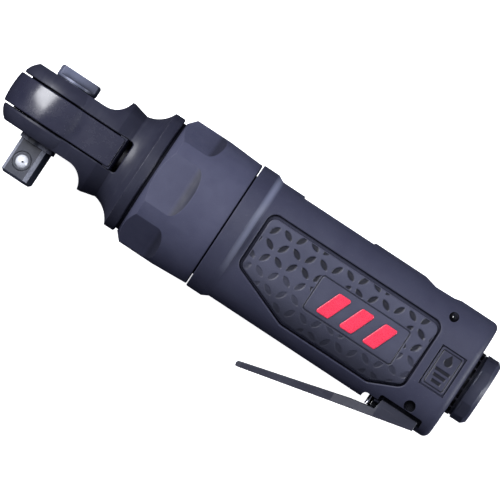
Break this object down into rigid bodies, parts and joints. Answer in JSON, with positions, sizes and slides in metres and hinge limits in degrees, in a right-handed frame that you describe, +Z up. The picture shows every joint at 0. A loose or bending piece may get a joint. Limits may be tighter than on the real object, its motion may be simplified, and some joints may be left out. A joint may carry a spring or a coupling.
{
  "type": "air ratchet",
  "caption": "Small air ratchet: forked head with swinging yoke, square drive, reversing knob, planetary gearing, vane motor, grip housing, throttle lever and hex inlet.",
  "frame": {"origin": "centre of the underside of the tool's box as it lies on its side", "axes": "+X along the tool's axis from the drive head to the air inlet, +Y towards the reversing knob with the square drive and the lever on -Y, +Z up through the badge side"},
  "size_m": [0.1762, 0.0576, 0.0453],
  "materials": {
    "head_steel": "satin black oxide",
    "nut_finish": "satin dark anodised",
    "housing_finish": "fine-grained matte black",
    "grip_rubber": "matte moulded rubber",
    "emblem_red": "satin red",
    "knob_steel": "dark satin steel",
    "drive_steel": "phosphated steel",
    "bright_steel": "polished",
    "lever_steel": "dark coated steel",
    "inlet_steel": "black oxide",
    "gear_steel": "ground steel",
    "bushing_bronze": "plain bronze",
    "vane_composite": "phenolic",
    "motor_iron": "ground iron",
    "valve_brass": "turned brass",
    "gasket_rubber": "matte",
    "felt": "pressed felt",
    "deflector_plastic": "matte black"
  },
  "bodies": {
    "tool_body": {"ratchet_head": "head_steel", "clamp_nut": "nut_finish", "ring_gear": "gear_steel", "crank_bearing": "bright_steel", "front_end_plate": "motor_iron", "front_rotor_bearing": "bright_steel", "cylinder": "motor_iron", "cylinder_dowel": "bright_steel", "rear_end_plate": "motor_iron", "rear_rotor_bearing": "bright_steel", "motor_gasket": "gasket_rubber", "motor_housing": "housing_finish", "grip_panel_front": "grip_rubber", "grip_panel_back": "grip_rubber", "emblem_front": "emblem_red", "emblem_back": "emblem_red", "cross_pin": "bright_steel", "lever_pin": "bright_steel", "valve_bushing": "valve_brass", "inlet_bushing": "inlet_steel", "inlet_screen": "bright_steel", "muffler_felt": "felt", "retaining_ring": "bright_steel"},
    "yoke": {"ratchet_yoke": "head_steel"},
    "anvil": {"anvil": "drive_steel", "pawl_pin": "bright_steel", "drive_ball_spring": "bright_steel", "thrust_washer": "bright_steel"},
    "pawl": {"pawl": "gear_steel"},
    "reverse_knob": {"reverse_knob": "knob_steel", "detent_plunger": "bright_steel", "detent_spring": "bright_steel"},
    "drive_ball": {"drive_ball": "bright_steel"},
    "crank": {"crankshaft": "gear_steel", "planet_pins": "bright_steel", "planet_retainer": "gear_steel"},
    "planet_1": {"planet_gear_1": "gear_steel"},
    "planet_2": {"planet_gear_2": "gear_steel"},
    "planet_3": {"planet_gear_3": "gear_steel"},
    "drive_bushing": {"drive_bushing": "bushing_bronze"},
    "rotor": {"rotor": "gear_steel", "rotor_vanes": "vane_composite", "sun_pinion": "gear_steel"},
    "throttle_lever": {"throttle_lever": "lever_steel"},
    "valve": {"valve_stem": "bright_steel", "valve_spring": "bright_steel"},
    "exhaust_deflector": {"exhaust_deflector": "deflector_plastic"}
  },
  "joints": [
    {"name": "yoke_swing", "type": "hinge", "parent": "tool_body", "child": "yoke", "pos_m": [-0.0711, 0.00613, 0.02265], "axis": [0, 1, 0], "range_deg": [-7, 7]},
    {"name": "drive_spin", "type": "hinge", "parent": "tool_body", "child": "anvil", "pos_m": [-0.0711, 0.00613, 0.02265], "axis": [0, 1, 0], "continuous": true},
    {"name": "pawl_rock", "type": "hinge", "parent": "anvil", "child": "pawl", "pos_m": [-0.0651, 0.00613, 0.0242], "axis": [0, 1, 0], "range_deg": [-16, 0]},
    {"name": "knob_turn", "type": "hinge", "parent": "anvil", "child": "reverse_knob", "pos_m": [-0.0711, 0.00613, 0.02265], "axis": [0, 1, 0], "range_deg": [0, 64]},
    {"name": "drive_ball_press", "type": "slide", "parent": "anvil", "child": "drive_ball", "axis": [0.2504, 0, -0.9681], "range_m": [0, 0.0011], "stiffness_N_per_m": 2000, "springref_m": -0.0005, "deforming": ["drive_ball_spring"]},
    {"name": "crank_spin", "type": "hinge", "parent": "tool_body", "child": "crank", "pos_m": [-0.0711, 0.00613, 0.02265], "axis": [1, 0, 0], "continuous": true},
    {"name": "bushing_spin", "type": "hinge", "parent": "crank", "child": "drive_bushing", "pos_m": [-0.0526, 0.00838, 0.02265], "axis": [1, 0, 0], "continuous": true},
    {"name": "rotor_spin", "type": "hinge", "parent": "tool_body", "child": "rotor", "pos_m": [-0.0711, 0.00613, 0.02265], "axis": [1, 0, 0], "continuous": true},
    {"name": "lever_squeeze", "type": "hinge", "parent": "tool_body", "child": "throttle_lever", "pos_m": [0.0706, -0.00937, 0.02265], "axis": [0, 0, -1], "range_deg": [0, 6.5], "stiffness_Nm_per_rad": 1, "springref_deg": -17.19},
    {"name": "valve_lift", "type": "slide", "parent": "tool_body", "child": "valve", "axis": [0, 1, 0], "range_m": [0, 0.0016], "deforming": ["valve_spring"]},
    {"name": "deflector_turn", "type": "hinge", "parent": "tool_body", "child": "exhaust_deflector", "pos_m": [0.0789, 0.00613, 0.02265], "axis": [1, 0, 0], "continuous": true},
    {"name": "planet_spin_1", "type": "hinge", "parent": "crank", "child": "planet_1", "pos_m": [-0.0274, 0.00613, 0.01365], "axis": [1, 0, 0], "continuous": true},
    {"name": "planet_spin_2", "type": "hinge", "parent": "crank", "child": "planet_2", "pos_m": [-0.0274, 0.01392, 0.02715], "axis": [1, 0, 0], "continuous": true},
    {"name": "planet_spin_3", "type": "hinge", "parent": "crank", "child": "planet_3", "pos_m": [-0.0274, -0.00167, 0.02715], "axis": [1, 0, 0], "continuous": true}
  ],
  "couplings": [
    {"joint": "pawl_rock", "follows": "knob_turn", "ratio": -0.25},
    {"joint": "bushing_spin", "follows": "crank_spin", "ratio": -1},
    {"joint": "rotor_spin", "follows": "crank_spin", "ratio": 5},
    {"joint": "valve_lift", "follows": "lever_squeeze", "m_per_rad": 0.0124},
    {"joint": "planet_spin_1", "follows": "crank_spin", "ratio": -2.6667},
    {"joint": "planet_spin_2", "follows": "crank_spin", "ratio": -2.6667},
    {"joint": "planet_spin_3", "follows": "crank_spin", "ratio": -2.6667}
  ]
}
